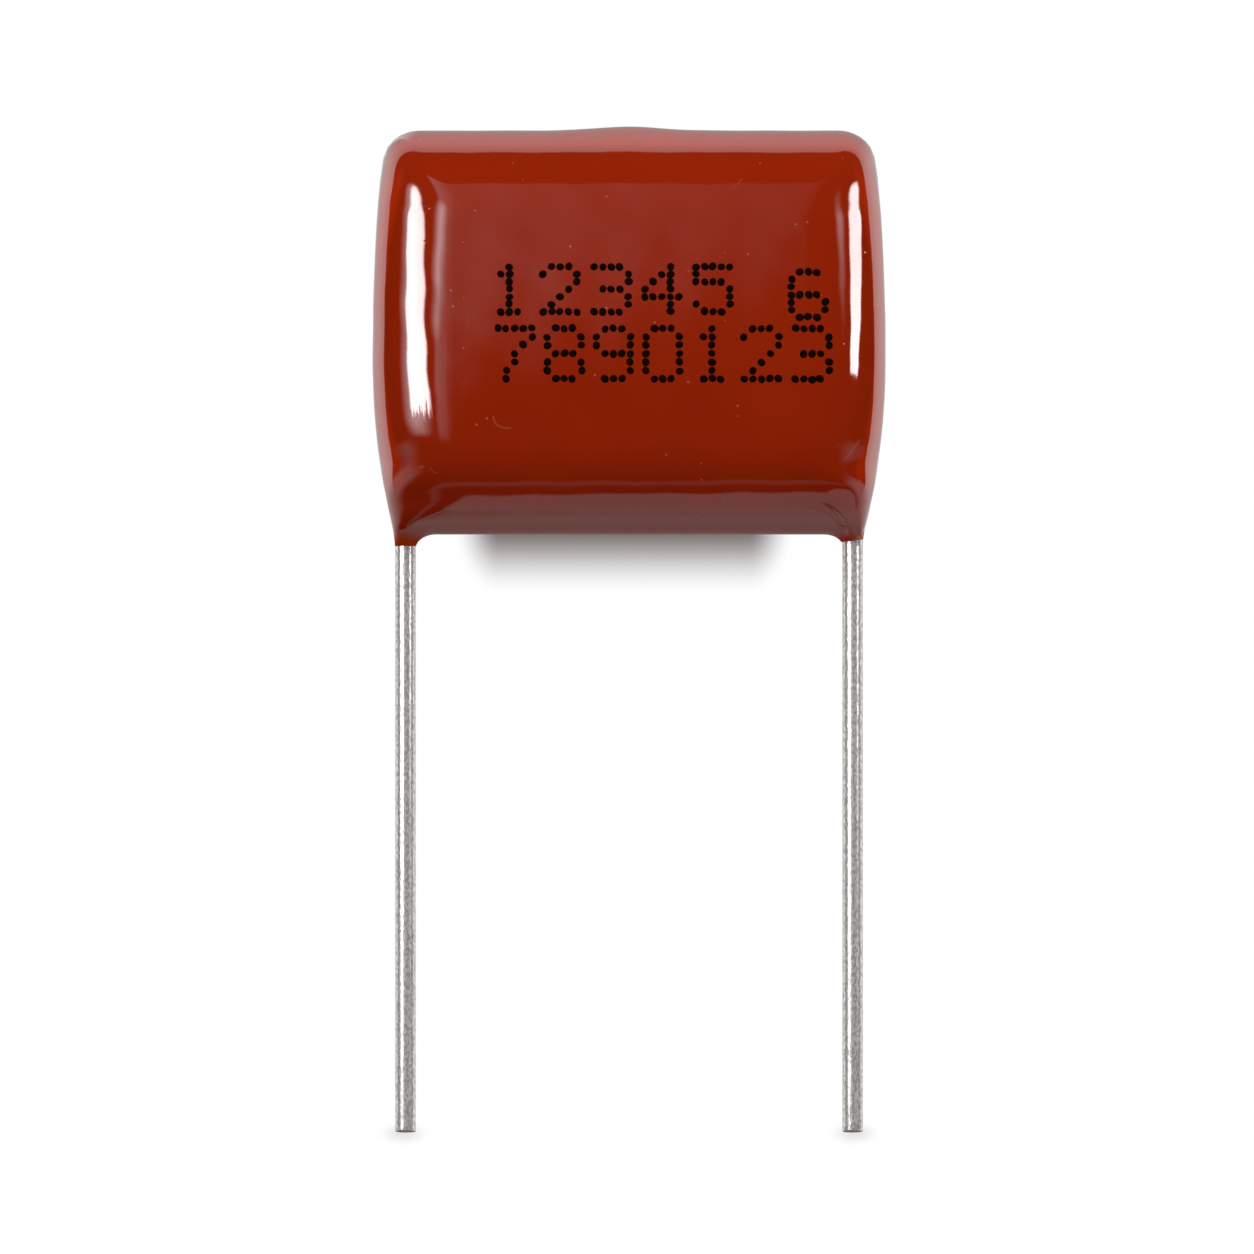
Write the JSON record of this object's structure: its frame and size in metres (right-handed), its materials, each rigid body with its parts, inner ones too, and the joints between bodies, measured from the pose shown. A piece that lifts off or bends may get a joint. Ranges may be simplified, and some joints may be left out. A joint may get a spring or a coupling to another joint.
{
  "type": "polyester film capacitor",
  "caption": "Radial-lead film capacitor: a pressed oval roll in a glossy dipped epoxy coating, with straight tinned leads leaving the bottom corners.",
  "frame": {"origin": "midway between the two lead axes, in the plane where the coating ends on the wires", "axes": "+X across the leads, from the left lead to the right one; +Y along the leads, from their tips to the head of the body; +Z out of the printed face. The part lies on its back"},
  "size_m": [0.0198, 0.0394, 0.0083],
  "materials": {
    "epoxy": "glossy dipped epoxy, brick red",
    "film": "metallised polyester film, silvery",
    "sprayed_metal": "sprayed zinc, matt and grainy",
    "tinned_wire": "bright tinned copper-clad steel"
  },
  "bodies": {
    "root": {"epoxy_coating": "epoxy", "film_roll": "film", "end_spray_left": "sprayed_metal", "end_spray_right": "sprayed_metal", "lead_left": "tinned_wire", "lead_right": "tinned_wire"}
  },
  "joints": []
}
